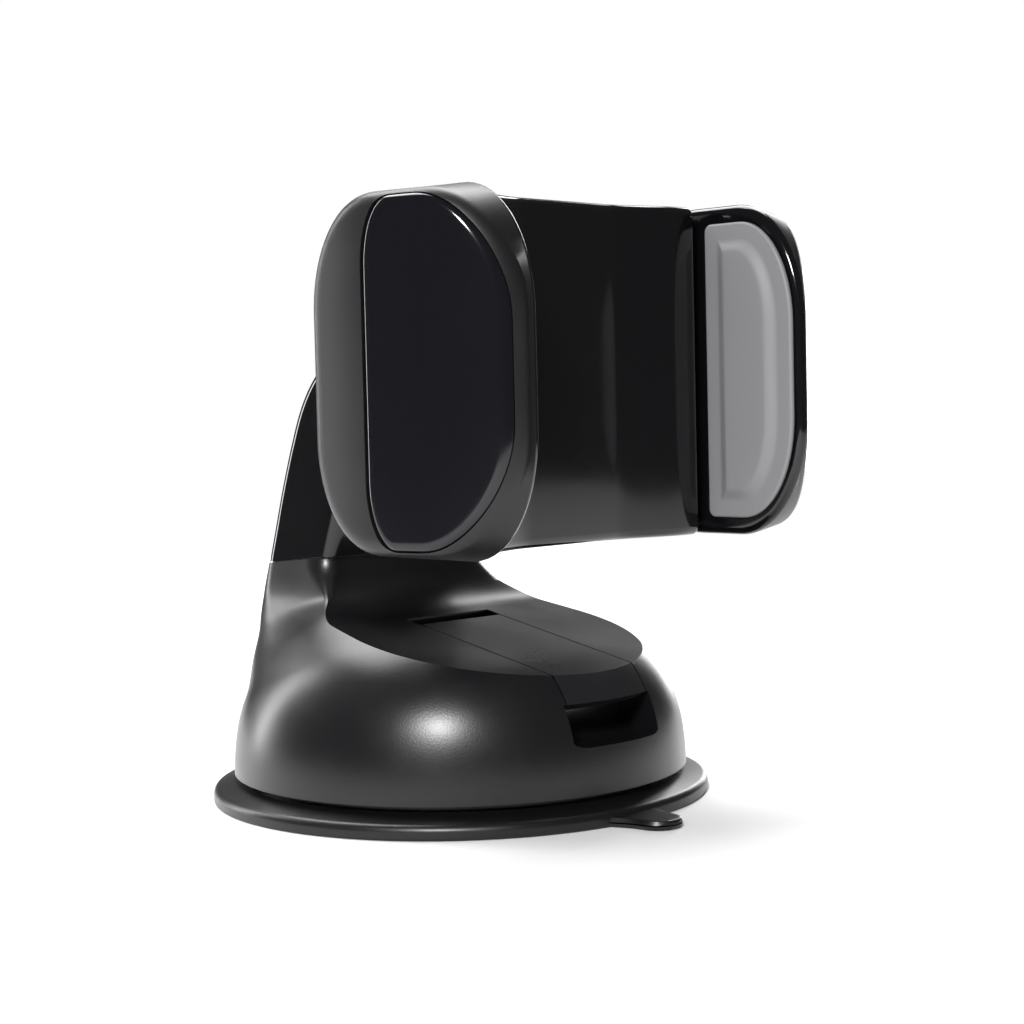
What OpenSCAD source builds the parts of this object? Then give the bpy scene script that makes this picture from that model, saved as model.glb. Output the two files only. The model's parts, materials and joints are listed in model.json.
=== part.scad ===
// Dashboard phone mount: a suction base with a cam lever, a leaning arm, a ball joint
// and a clamp head whose two jaws are geared together.
// The origin is the centre of the suction face, +Z is up, and -Y is the front,
// where the lever and the pull tab are. The right jaw is on the +X side.

/* [Suction base] */
// Diameter of the suction flange
flange_d = 74.2; // [73:0.2:75.4]
// Thickness of the suction flange
flange_t = 3; // [2.8:0.1:3]
// How far the pull tab reaches in front of the centre
tab_reach = 44.4; // [43:0.2:46]
// Radius of the dome at its foot
dome_r = 33.9; // [33.7:0.1:34.1]
// Height of the dome's lower rim
dome_z = 4; // [3.8:0.1:4.2]
// Height of the sloping deck above the centre
deck_z = 25.8; // [25.6:0.1:26]
// Slope of the deck down to the front, in degrees
deck_slope = 11.3; // [11:0.1:11.6]
// Wall thickness of the moulded shells
wall = 2.2; // [2:0.1:2.4]

/* [Lever] */
// Width of the cam lever
lever_w = 16.1; // [15.5:0.1:16.5]
// Thickness of the lever's plate
lever_t = 2.2; // [2:0.1:2.4]
// Gap between the lever and the deck on each side
lever_gap = 0.3; // [0.3:0.05:0.4]
// How far the lever swings open, in degrees
lever_open = 45; // [40:1:45]
// How far the stud drops as the lever opens
stud_drop = 2.5; // [2:0.1:2.5]

/* [Arm] */
// Width of the arm at the seam
arm_w = 32; // [31:0.5:32]
// Height of the seam between the neck and the arm shell
seam_z = 35; // [34.5:0.1:35.5]
// Rise of the seam towards the front, in degrees
seam_rise = 5.5; // [4:0.5:6]

/* [Ball joint] */
// Radius of the ball
ball_r = 7.5; // [7.4:0.1:7.5]
// Height of the ball's centre
ball_z = 62; // [61.8:0.1:62.2]
// Radial clearance of the running fits
run_fit = 0.05; // [0.03:0.01:0.08]

/* [Clamp head] */
// Width of the head between the jaws
head_w = 51.2; // [50:0.2:51.4]
// Height of the head
head_h = 48.4; // [48:0.2:49]
// How far the face sweeps forward at its ends
flare = 3; // [2:0.1:3.2]
// Travel of each jaw
jaw_travel = 14; // [10:0.5:14]
// Teeth on the pinion
gear_teeth = 12; // [12:1:12]

/* [Hidden] */
$fn = 64;
hull_fn = 32;
far = 60;

// The dome: its radius falls with the second and fourth power of the height
dome_round = 4.94;
dome_crown = 4.16;
dome_scale = 20;
dome_top = 34;
dome_steps = 14;

// The deck runs into the neck through a fillet
deck_rise = tan(deck_slope);
fillet_r = 10;
fillet_y = 1.2;
fillet_z = deck_z + deck_rise * fillet_y + fillet_r / cos(deck_slope);

// The neck and the arm as stacked slices: height, width, front, back, corner radius
neck_slices = [
  [12, 44, -8, 31.8, 19.8],
  [38, arm_w - 0.6, 11, 25.1, 2.4]
];
arm_slices = [
  [32, arm_w + 0.2, 11.8, 26.5, 2.4],
  [44, arm_w - 1.5, 9, 23.8, 2.4],
  [51, arm_w - 2.5, 7.5, 22, 2.4],
  [57, arm_w - 3.3, 6.5, 20.1, 2.6],
  [61.5, arm_w - 4, 6, 17.9, 3],
  [66, arm_w - 5.5, 6, 14.2, 3.4],
  [69.5, arm_w - 10, 6.2, 10.6, 2]
];
cover_t = 1.8;
arm_floor = 2.6;
neck_floor_z = 31.6;

// Cam, pin and stud, in the locked position
pin_r = 1.5;
pin_y = -3.5;
pin_z = 18.3;
cam_r = 5.2;
cam_half_turn = lever_open / 2;
cam_e = stud_drop / (2 * sin(cam_half_turn));
cam_y = pin_y - cam_e * cos(cam_half_turn);
cam_z = pin_z - cam_e * sin(cam_half_turn);
floor_top = cam_z - cam_r - 0.15;
floor_t = 2;
trough_half = lever_w / 2 + lever_gap;
trough_back = 5.5;
slot_back = 2.2;
lever_back = -0.8;
lever_lip_z = 16.4;
lever_lip_y = -27.6;
pocket_z = 10.6;
pocket_y = -24.5;
pocket_half = 8.7;
foot_r = 13;
foot_z = 4.8;
foot_t = 1.8;
blade_half_x = 2.9;
blade_half_y = 3.8;

// Base plate, its screws and the flexible middle of the cup
plate_z = 3;
plate_top = 7.2;
plate_r = dome_r - wall - 0.4;
rim_in = 23.7;
tab_x = -2;
tab_t = 1.4;
boss_at = 28;
boss_r = 2.8;

// Ball joint: the ball's centre lies behind the head
ball_y = -5;
cup_t = 0.8;
socket_in = ball_r + run_fit + cup_t + run_fit;
socket_out = 10.6;
socket_flange = 2.6;
collar_out = 13;
neck_r = 4;
mouth = 4.2;
stud_seat = 8.8;
stud_flange = 2.2;
stud_screw_x = 6.4;

// Clamp head, from back to front
back_y = -12;
split_y = -21.6;
face_y = -25;
head_wall = 2;
flare_from = 9;
flare_to = 22.5;
head_x = head_w / 2;
head_low = ball_z - head_h / 2;
head_high = ball_z + head_h / 2;
head_screw_x = 21.4;
head_screw_z = 20.6;

// Racks and pinion
gear_module = 1;
gear_pitch_r = gear_teeth * gear_module / 2;
gear_y0 = -18.2;
gear_t = 3.6;
post_r = 1.5;
rack_add = 0.65;
rack_ded = 0.95;
gear_add = 0.75;
gear_ded = 0.9;
backlash = 0.3;
pressure = 20;
bar_low = -15;
bar_inner = -17;
lug_t = 1.6;
lug_fixed = -14;
lug_moving = 3.5;
spring_z = ball_z - 18.6;

// Jaws
jaw_in = 26.4;
pad_seat = 27.4;
jaw_back = -12.6;
jaw_tip = -44.8;
jaw_h = 48.6;
jaw_wall = 1.8;
jaw_rim = 2.8;
end_plate_x = jaw_in + jaw_wall + 0.1;
end_plate_t = 2;
panel_t = 1.1;
panel_back = -24.6;
pad_back = -27.6;
pad_front = -43.4;
pad_h = 43.4;

// ---- Functions

function dome_at(z) = let (u = (z - dome_z) / dome_scale)
  dome_r - dome_round * pow(u, 2) - dome_crown * pow(u, 4);
function deck_at(y) = deck_z + deck_rise * y;
function smooth(t) = t * t * (3 - 2 * t);
function clamp01(t) = max(0, min(1, t));
function face_at(x) = face_y - flare * smooth(clamp01((abs(x) - flare_from) / (flare_to - flare_from)));
// Points of a quarter ellipse from angle a to angle b
function arc(cx, cy, rx, ry, a, b, n = 8) =
  [for (i = [0:n]) let (t = a + (b - a) * i / n) [cx + rx * cos(t), cy + ry * sin(t)]];
function involute(rb, t) = rb * [cos(t) + t * PI / 180 * sin(t), sin(t) - t * PI / 180 * cos(t)];
function turned(p, a) = [p[0] * cos(a) - p[1] * sin(a), p[0] * sin(a) + p[1] * cos(a)];

// ---- Helpers

// Extrudes an outline drawn in (y, z) along X, centred
module along_x(length) {
  rotate([90, 0, 90]) linear_extrude(length, center = true) children();
}

// Extrudes an outline drawn in (x, z) along Y, from y = high down by depth
module along_y(high, depth) {
  translate([0, high, 0]) rotate([90, 0, 0]) linear_extrude(depth) children();
}

// A cylinder along Y from y = high down by depth
module y_rod(x, high, z, r, depth) {
  translate([x, high, z]) rotate([90, 0, 0]) cylinder(r = r, h = depth);
}

module rounded(w, h, r) {
  offset(r = r) square([w - 2 * r, h - 2 * r], center = true);
}

// A pan-head screw with a hexagon socket; the head lies below z = 0 and the shaft above
module screw(head_r, head_h, shaft_r, length) {
  difference() {
    union() {
      translate([0, 0, -head_h]) cylinder(r = head_r, h = head_h);
      cylinder(r = shaft_r, h = length);
    }
    translate([0, 0, -head_h - 0.1]) cylinder(r = head_r * 0.5, h = head_h * 0.6, $fn = 6);
  }
}

// A round coil along Z made of short straight wire lengths
module coil(r, wire_r, height, turns, steps = 14, sides = 6) {
  count = turns * steps;
  points = [
    for (i = [0:count]) let (a = 360 * i / steps, z = height * i / count)
      for (j = [0:sides - 1]) let (b = 360 * j / sides, q = r + wire_r * cos(b))
        [q * cos(a), q * sin(a), z + wire_r * sin(b)]
  ];
  sides_faces = [
    for (i = [0:count - 1]) for (j = [0:sides - 1]) let (k = (j + 1) % sides)
      [i * sides + j, (i + 1) * sides + j, (i + 1) * sides + k, i * sides + k]
  ];
  start_face = [[for (j = [0:sides - 1]) j]];
  end_face = [[for (j = [sides - 1:-1:0]) count * sides + j]];
  polyhedron(points, concat(sides_faces, start_face, end_face));
}

// ---- Suction cup

module pull_tab_outline() {
  tab_r = 3.4;
  tab_y = -tab_reach + tab_r;
  root_y = -flange_d / 2 + 1.5;
  translate([tab_x, tab_y]) circle(tab_r);
  polygon([[tab_x - tab_r, tab_y], [tab_x + tab_r, tab_y], [tab_x + 6, root_y], [tab_x + 6, -30],
    [tab_x - 6, -30], [tab_x - 6, root_y]]);
}

module suction_flange() {
  r = flange_d / 2;
  color("#1b1b1d") difference() {
    union() {
      rotate_extrude() polygon([[rim_in, 0], [r - 0.4, 0], [r, 0.5], [r, 1.6], [r - 0.8, 2.3],
        [r - 3.6, flange_t], [rim_in, flange_t]]);
      linear_extrude(tab_t) pull_tab_outline();
    }
    translate([0, 0, -1]) cylinder(r = rim_in, h = 10);
  }
}

module gel_membrane() {
  edge_z = 0.5;
  skin = 1.5;
  color("#242427") rotate_extrude() polygon([
    [0, foot_z - skin], [foot_r - 1, foot_z - skin], [rim_in - 1.5, edge_z], [rim_in - 0.1, edge_z],
    [rim_in - 0.1, edge_z + skin], [rim_in - 1.2, edge_z + skin], [foot_r, foot_z - 0.05],
    [0, foot_z - 0.05]
  ]);
}

// ---- Base

module at_bosses() {
  for (a = [45:90:315]) rotate(a) translate([boss_at, 0, 0]) children();
}

module base_plate() {
  rim_wall = rim_in + 1;
  color("#2b2b2e") difference() {
    rotate_extrude() polygon([[16, 5.4], [rim_wall, 5.4], [rim_wall, plate_z], [plate_r, plate_z],
      [plate_r, plate_top], [16, plate_top]]);
    at_bosses() translate([0, 0, plate_z - 1]) cylinder(r = 1.3, h = 10);
    at_bosses() translate([0, 0, plate_z - 1]) cylinder(r = 2.4, h = 2.8);
  }
}

module base_screws() {
  color("#b9bcc0") at_bosses() translate([0, 0, plate_z + 1.8]) screw(2.2, 1.6, 1, 8);
}

module dome_solid(inset = 0) {
  rotate_extrude() polygon(concat([[0, dome_z]], [
    for (i = [0:dome_steps]) let (z = dome_z + (dome_top - dome_z) * i / dome_steps)
      [max(dome_at(z) - inset, 1), z]
  ], [[0, dome_top]]));
}

module slice(s, inset = 0) {
  depth = s[3] - s[2] - 2 * inset;
  translate([0, (s[2] + s[3]) / 2, s[0]])
    linear_extrude(0.01) rounded(s[1] - 2 * inset, depth, max(s[4] - inset, 0.6), $fn = hull_fn);
}

module neck_solid(inset = 0) {
  hull() for (s = neck_slices) slice(s, inset);
}

module arm_solid(inset = 0) {
  hull() for (s = arm_slices) slice(s, inset);
}

// Everything above the seam plane, which rises towards the front
module above_seam() {
  translate([0, 18.5, seam_z]) rotate([-seam_rise, 0, 0])
    translate([-far, -2 * far, 0]) cube([2 * far, 3 * far, far]);
}

// Everything above the deck and in front of the neck, lowered by drop
module above_deck(drop = 0) {
  along_x(2 * far) polygon(concat(
    [[-far, far], [-far, deck_at(-far) - drop]],
    arc(fillet_y, fillet_z - drop, fillet_r, fillet_r, deck_slope - 90, 0, 10),
    [[fillet_y + fillet_r, far]]
  ));
}

module base_form() {
  difference() {
    union() {
      dome_solid();
      neck_solid();
    }
    above_deck();
    above_seam();
  }
}

// The space that the lever, its cheeks and the stud's head move in
module lever_space() {
  roof = 2.2;
  along_x(2 * trough_half) polygon([
    [trough_back, floor_top], [trough_back, deck_at(trough_back) - roof - 1.4],
    [slot_back, deck_at(slot_back) - roof], [slot_back, far], [-far, far], [-far, lever_lip_z - 0.2],
    [-31, lever_lip_z - 0.2], [lever_lip_y + 1.2, lever_lip_z - 0.2],
    [lever_lip_y + 1.2, deck_at(lever_lip_y) - lever_t - 1.2],
    [-13.4, deck_at(-13.4) - lever_t - 1.2], [-13.4, floor_top]
  ]);
  // Finger pocket below the lever's lip, with rounded lower corners
  intersection() {
    translate([0, pocket_y, 0]) rotate([90, 0, 0]) linear_extrude(far) translate([0, pocket_z + 5])
      rounded(2 * pocket_half, 10, 3);
    along_x(far) polygon(concat([[-far, lever_lip_z], [-far, pocket_z]],
      arc(pocket_y - 4, pocket_z + 4, 4, 4, -90, 0), [[pocket_y, lever_lip_z]]));
  }
}

module dome_hollow() {
  block_half = trough_half + wall;
  difference() {
    union() {
      difference() {
        dome_solid(wall);
        above_deck(wall);
      }
      translate([0, 0, dome_z - 1]) cylinder(r = dome_r - wall, h = 1.1);
      difference() {
        neck_solid(wall);
        translate([0, wall, -wall]) above_deck();
      }
    }
    // Top plate under the arm
    translate([0, 0, neck_floor_z]) cylinder(r = far, h = far);
    // Trough that carries the cam's floor
    translate([-block_half, -far, floor_top - floor_t])
      cube([2 * block_half, far + trough_back + wall, far]);
    // Screw bosses
    at_bosses() translate([0, 0, plate_top]) cylinder(r = boss_r, h = far);
  }
}

module dome_housing() {
  color("#19191b") difference() {
    base_form();
    dome_hollow();
    lever_space();
    // Moulding core below the front of the trough
    translate([-8, pocket_y + 1.6, 0]) cube([16, 8.4, 14.8]);
    // Guide for the stud's blade
    translate([-blade_half_x - 0.2, pin_y - blade_half_y - 0.2, 0])
      cube([2 * blade_half_x + 0.4, 2 * blade_half_y + 0.4, floor_top + 1]);
    at_bosses() translate([0, 0, plate_top - 1]) cylinder(r = 1, h = 8);
    // Opening behind the neck cover, and the recess that the cover sits in
    neck_cover_zone(0.1);
    translate([-9, 18, 12]) cube([18, far, 17]);
    // Holes for the arm's screws
    at_arm_screws() translate([0, 0, neck_floor_z - 1]) cylinder(r = 1.3, h = 10);
  }
}

// The rear skin of the neck that the cover takes up
module neck_cover_zone(grow = 0) {
  intersection() {
    translate([-11 - grow, 0, 9 - grow]) cube([22 + 2 * grow, far, 22.4 + 2 * grow]);
    difference() {
      along_x(far) polygon([[far, dome_z], [far, seam_z], [0, seam_z], [0, dome_z]]);
      translate([0, -cover_t - grow, 0]) neck_and_dome_rear();
    }
  }
}

module neck_and_dome_rear() {
  dome_solid();
  neck_solid();
  along_x(far) polygon([[-far, 0], [20, 0], [20, far], [-far, far]]);
}

module neck_cover() {
  color("#0f0f10") {
    intersection() {
      neck_cover_zone();
      base_form();
    }
    // Snap hooks that reach in through the opening
    for (x = [-7.6, 6.4]) translate([x, 22.5, 19]) cube([1.2, 5.6, 4]);
  }
}

// ---- Stud and lever

module pull_stud() {
  color("#c9c9c4") difference() {
    union() {
      translate([0, 0, foot_z]) cylinder(r = foot_r, h = foot_t);
      translate([-blade_half_x, pin_y - blade_half_y, foot_z])
        cube([2 * blade_half_x, 2 * blade_half_y, pin_z - foot_z]);
      translate([0, pin_y, pin_z]) rotate([0, 90, 0])
        cylinder(r = 3, h = 2 * blade_half_x, center = true);
    }
    translate([0, pin_y, pin_z]) rotate([0, 90, 0]) cylinder(r = pin_r, h = far, center = true);
  }
}

module stud_pin() {
  color("#b9bcc0") translate([0, pin_y, pin_z]) rotate([0, 90, 0])
    cylinder(r = pin_r, h = 14, center = true);
}

module release_spring() {
  wire_r = 0.45;
  from_z = foot_z + foot_t + wire_r + 0.05;
  to_z = floor_top - floor_t - wire_r - 0.05;
  color("#a9adb2") translate([0, pin_y, from_z]) coil(7, wire_r, to_z - from_z, 2);
}

module cam_lever() {
  cheek_in = 3.3;
  cheek_t = 3.2;
  plate_low = lever_t / cos(deck_slope);
  color("#1c1c1e") difference() {
    union() {
      // Plate and front lip, flush with the deck and the dome
      intersection() {
        dome_solid();
        translate([-lever_w / 2, -far, lever_lip_z]) cube([lever_w, far + lever_back, far]);
        along_x(far) polygon([
          [0, deck_at(0)], [0, deck_at(0) - plate_low], [lever_lip_y, deck_at(lever_lip_y) - plate_low],
          [lever_lip_y, 0], [-far, 0], [-far, deck_at(-far)]
        ]);
      }
      // Two cam cheeks under the plate
      for (side = [-1, 1]) translate([side * (cheek_in + cheek_t / 2), 0, 0]) {
        translate([0, cam_y, cam_z]) rotate([0, 90, 0]) cylinder(r = cam_r, h = cheek_t, center = true);
        translate([0, pin_y, pin_z]) rotate([0, 90, 0]) cylinder(r = 3.2, h = cheek_t, center = true);
        along_x(cheek_t) polygon([
          [cam_y - 3.4, cam_z + 3.4], [pin_y + 2.6, pin_z],
          [pin_y + 2.6, deck_at(pin_y) - plate_low + 0.6],
          [cam_y - 4.6, deck_at(cam_y - 5) - plate_low + 0.6]
        ]);
      }
    }
    translate([0, pin_y, pin_z]) rotate([0, 90, 0]) cylinder(r = pin_r + run_fit, h = far, center = true);
  }
}

// ---- Arm

module at_arm_screws() {
  for (x = [-9, 9]) translate([x, 18.5, 0]) children();
}

module arm_shell() {
  color("#121214") difference() {
    intersection() {
      arm_solid();
      above_seam();
    }
    // Hollow above a floor at the seam, with a seat for the ball stud at the front
    difference() {
      intersection() {
        arm_solid(wall);
        translate([0, 0, arm_floor]) above_seam();
      }
      y_rod(0, stud_seat, ball_z, 9.6, 20);
    }
    arm_cover_zone(0.1);
    translate([-8.7, 13, seam_z + 5]) cube([17.4, far, 23]);
    y_rod(0, stud_seat + 1, ball_z, neck_r + 0.5, 20);
    at_stud_screws() y_rod(0, stud_seat + 1, 0, 0.8, 3);
    at_arm_screws() translate([0, 0, seam_z - 4]) cylinder(r = 1, h = 12);
  }
}

// The part of the arm behind a copy of it that is shifted forward
module arm_cover_zone(grow = 0) {
  intersection() {
    translate([-9.5 - grow, 0, seam_z + 2 - grow]) cube([19 + 2 * grow, far, 28 + 2 * grow]);
    difference() {
      along_x(far) polygon([[far, seam_z - 2], [far, far + 20], [8, far + 20], [8, seam_z - 2]]);
      translate([0, -cover_t - grow, 0]) arm_solid();
    }
  }
}

module arm_cover() {
  color("#0f0f10") {
    intersection() {
      arm_cover_zone();
      arm_solid();
    }
    for (x = [-7.6, 6.4]) translate([x, 17.4, 48]) cube([1.2, 4.2, 4]);
  }
}

module arm_screws() {
  color("#b9bcc0") at_arm_screws() translate([0, 0, neck_floor_z]) screw(2.2, 1.5, 1, 7);
}

module at_stud_screws() {
  for (x = [-stud_screw_x, stud_screw_x]) translate([x, 0, ball_z]) children();
}

module ball_stud() {
  flange_back = stud_seat + stud_flange;
  flange_half = 3.9;
  color("#1d1d1f") difference() {
    union() {
      translate([0, ball_y, ball_z]) sphere(ball_r);
      y_rod(0, flange_back, ball_z, neck_r, flange_back - ball_y - 3);
      intersection() {
        y_rod(0, flange_back, ball_z, 9, stud_flange);
        translate([-far, 0, ball_z - flange_half]) cube([2 * far, far, 2 * flange_half]);
      }
    }
    at_stud_screws() y_rod(0, far, 0, 1, 2 * far);
  }
}

module stud_screws() {
  color("#b9bcc0") at_stud_screws() translate([0, stud_seat + stud_flange, 0]) rotate([90, 0, 0])
    screw(1.8, 1.1, 0.8, 4.2);
}

// ---- Ball joint

// A spherical shell around the ball between two planes along Y
module cup(from, to) {
  intersection() {
    difference() {
      translate([0, ball_y, ball_z]) sphere(ball_r + run_fit + cup_t);
      translate([0, ball_y, ball_z]) sphere(ball_r + run_fit);
    }
    translate([-far, ball_y + from, 0]) cube([2 * far, to - from, 2 * far]);
  }
}

module front_cup() {
  color("#d8d6cf") difference() {
    cup(-far / 2, -2.8);
    y_rod(0, ball_y, ball_z, 3, far);
  }
}

module rear_cup() {
  color("#d8d6cf") cup(0.9, 3.6);
}

module at_socket_screws() {
  for (a = [90:120:330]) translate([12.3 * cos(a), 0, ball_z + 12.3 * sin(a)]) children();
}

module ball_socket() {
  color("#1d1d1f") difference() {
    union() {
      y_rod(0, ball_y + mouth, ball_z, socket_out, ball_y + mouth - back_y);
      y_rod(0, back_y + socket_flange, ball_z, 14.2, socket_flange);
      y_rod(0, back_y, ball_z, 9.4, 2.4);
    }
    translate([0, ball_y, ball_z]) sphere(socket_in);
    // Slots that let the collet close on the cups
    for (a = [45:90:315]) translate([0, ball_y, ball_z]) rotate([0, a, 0])
      translate([-0.6, 0.6, 0]) cube([1.2, far, far]);
    at_socket_screws() y_rod(0, back_y + 2, 0, 0.9, 10);
  }
}

module socket_screws() {
  color("#b9bcc0") at_socket_screws() translate([0, back_y - head_wall, 0]) rotate([-90, 0, 0])
    screw(1.7, 1.1, 0.9, 3.8);
}

module lock_collar() {
  collar_back = ball_y + mouth + 0.9;
  depth = collar_back - back_y - socket_flange - 0.3;
  ribs = 24;
  color("#161617") difference() {
    union() {
      y_rod(0, collar_back, ball_z, collar_out - 0.5, depth);
      for (i = [0:ribs - 1]) translate([0, collar_back - 1, ball_z]) rotate([90, 360 * i / ribs, 0])
        translate([collar_out - 1, 0, 0]) cylinder(r = 0.9, h = depth - 1);
    }
    y_rod(0, collar_back - 0.8, ball_z, socket_out + run_fit, far);
    y_rod(0, far, ball_z, 8.4, 2 * far);
  }
}

// ---- Clamp head

module head_outline(inset = 0) {
  translate([0, ball_z]) rounded(head_w - 2 * inset, head_h - 2 * inset, 2.5);
}

module at_head_screws() {
  for (x = [-head_screw_x, head_screw_x], z = [-head_screw_z, head_screw_z])
    translate([x, 0, ball_z + z]) children();
}

// The two ends of the head are open where the carriers slide out
module carrier_slots() {
  slot_high = 9.4;
  translate([-far, split_y - 0.6, ball_z + bar_low - 0.3]) cube([2 * far, 4.4, slot_high]);
  translate([-far, split_y - 0.6, ball_z - bar_low + 0.3 - slot_high]) cube([2 * far, 4.4, slot_high]);
}

module head_shell() {
  color("#141416") difference() {
    union() {
      difference() {
        along_y(back_y, back_y - split_y) head_outline();
        along_y(back_y - head_wall, far) head_outline(head_wall);
      }
      intersection() {
        at_head_screws() y_rod(0, back_y, 0, 2.5, back_y - split_y);
        along_y(back_y, far) head_outline();
      }
      // Bosses for the chassis plate
      for (x = [-16, 16]) y_rod(x, back_y - 1, ball_z, 2.6, 3);
    }
    y_rod(0, far, ball_z, 9.5, 2 * far);
    at_head_screws() y_rod(0, far, 0, 1.2, 2 * far);
    at_head_screws() y_rod(0, back_y + 1, 0, 2.2, 2.8);
    at_socket_screws() y_rod(0, far, 0, 1, 2 * far);
    for (x = [-16, 16]) y_rod(x, back_y - 1.4, ball_z, 0.8, far);
    carrier_slots();
  }
}

// Outline of the face in (x, y), swept forward at both ends
module face_plan(inset = 0) {
  steps = 24;
  edge = head_x - inset;
  polygon(concat([[edge, split_y], [-edge, split_y]], [
    for (i = [0:steps]) let (x = -edge + 2 * edge * i / steps) [x, face_at(x) + inset]
  ]));
}

module head_face() {
  color("#1a1a1c") difference() {
    intersection() {
      translate([0, 0, head_low]) linear_extrude(head_h) face_plan();
      along_y(split_y, far) head_outline();
    }
    difference() {
      intersection() {
        translate([0, 0, head_low + head_wall]) linear_extrude(head_h - 2 * head_wall)
          face_plan(head_wall);
        along_y(split_y + 1, far) head_outline(head_wall);
      }
      at_head_screws() y_rod(0, split_y, 0, 2.5, far);
    }
    at_head_screws() y_rod(0, split_y + 1, 0, 0.8, 4);
    carrier_slots();
  }
}

module head_screws() {
  color("#b9bcc0") at_head_screws() translate([0, back_y - 1.8, 0]) rotate([90, 0, 0])
    screw(2, 1.4, 0.8, 10);
}

module spring_lug(x, depth) {
  difference() {
    translate([x - lug_t / 2, gear_y0 - gear_t, spring_z - 1.8]) cube([lug_t, depth, 3.6]);
    translate([x, gear_y0 - gear_t / 2, spring_z]) rotate([0, 90, 0])
      cylinder(r = 0.7, h = 4, center = true);
  }
}

// Turns a part about the pinion's axis
module about_pinion(a) {
  translate([0, 0, ball_z]) rotate([0, a, 0]) translate([0, 0, -ball_z]) children();
}

module chassis_plate() {
  plate_y = back_y - 4;
  color("#9a9da1") difference() {
    union() {
      translate([-18.4, plate_y - 1.2, ball_z - 17.6]) cube([36.8, 1.2, 35.2]);
      for (a = [0, 180]) about_pinion(a) {
        translate([lug_fixed - lug_t / 2, plate_y - 1.2, spring_z - 1.8]) cube([lug_t, 1.2, 4]);
        spring_lug(lug_fixed, gear_t + 1);
      }
    }
    for (x = [-16, 16]) y_rod(x, far, ball_z, 1, 2 * far);
    y_rod(0, far, ball_z, post_r, 2 * far);
  }
}

module chassis_screws() {
  color("#b9bcc0") for (x = [-16, 16]) translate([x, back_y - 5.2, ball_z]) rotate([-90, 0, 0])
    screw(1.7, 0.9, 0.8, 3.4);
}

module pinion_post() {
  color("#b9bcc0") {
    y_rod(0, back_y - 4, ball_z, post_r, 6.5);
    y_rod(0, back_y - 5.2, ball_z, 2.6, 0.9);
    y_rod(0, gear_y0 - gear_t - 0.2, ball_z, 2.4, 0.7);
  }
}

module pinion() {
  base_r = gear_pitch_r * cos(pressure);
  outer_r = gear_pitch_r + gear_add;
  root_r = gear_pitch_r - gear_ded;
  pitch_t = sqrt(pow(gear_pitch_r / base_r, 2) - 1) * 180 / PI;
  outer_t = sqrt(pow(outer_r / base_r, 2) - 1) * 180 / PI;
  half_tooth = 90 / gear_teeth - backlash / 4 / gear_pitch_r * 180 / PI;
  // Turn that puts the involute's pitch point half a tooth from the tooth's middle
  lean = half_tooth + pitch_t - atan(pitch_t * PI / 180);
  flank = [for (i = [0:4]) turned(involute(base_r, outer_t * i / 4), -lean)];
  other = [for (i = [4:-1:0]) [flank[i][0], -flank[i][1]]];
  color("#e4e2da") difference() {
    y_rod_shape(gear_y0, gear_t) {
      circle(root_r);
      for (i = [0:gear_teeth - 1]) rotate(360 * i / gear_teeth)
        polygon(concat([[0, 0]], flank, other));
    }
    y_rod(0, far, ball_z, post_r + run_fit, 2 * far);
  }
}

module y_rod_shape(high, depth) {
  translate([0, high, ball_z]) rotate([90, 0, 0]) linear_extrude(depth) children();
}

// Carrier of the right jaw, below the pinion: a rack bar with an end plate in the jaw
module carrier() {
  pitch = PI * gear_module;
  half = pitch / 4 - backlash / 4;
  slope = tan(pressure);
  pitch_z = ball_z - gear_pitch_r;
  root_z = pitch_z - rack_ded;
  bar_y = gear_y0 - gear_t;
  difference() {
    union() {
      translate([bar_inner, bar_y, ball_z + bar_low])
        cube([end_plate_x + 1 - bar_inner, gear_t, root_z - ball_z - bar_low]);
      // Teeth from under the pinion to the bar's inner end, which passes it as the jaw opens
      for (i = [-5:1]) let (x = i * pitch + pitch / 2)
        along_y(gear_y0, gear_t) polygon([[x - half - slope * rack_ded, root_z - 0.01],
          [x + half + slope * rack_ded, root_z - 0.01], [x + half - slope * rack_add, pitch_z + rack_add],
          [x - half + slope * rack_add, pitch_z + rack_add]]);
      // End plate
      translate([end_plate_x, bar_y - 0.6, ball_z - 16]) cube([end_plate_t, 6.4, 32]);
      // Lug for the return spring
      translate([lug_moving - lug_t / 2, bar_y, spring_z + 1]) cube([lug_t, gear_t, 3]);
      spring_lug(lug_moving, gear_t);
    }
    at_jaw_screws(-1) cylinder(r = 1.1, h = 8, center = true);
  }
}

// The screws beside the bar, whose side is -1 below the pinion and 1 above it
module at_jaw_screws(bar_side) {
  for (z = [2 * bar_side, -13 * bar_side])
    translate([end_plate_x, gear_y0 - 0.2, ball_z + z]) rotate([0, 90, 0]) children();
}

module right_carrier() {
  color("#3a3a3d") carrier();
}

module left_carrier() {
  color("#3a3a3d") about_pinion(180) carrier();
}

module jaw_spring() {
  wire_r = 0.28;
  from_x = lug_fixed + lug_t / 2 + wire_r;
  to_x = lug_moving - lug_t / 2 - wire_r;
  color("#a9adb2") translate([from_x, gear_y0 - gear_t / 2, spring_z]) rotate([0, 90, 0])
    coil(1.5, wire_r, to_x - from_x, 14, 8);
}

module right_jaw_spring() {
  jaw_spring();
}

module left_jaw_spring() {
  about_pinion(180) jaw_spring();
}

// ---- Jaws, drawn on the right and mirrored to the left

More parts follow.
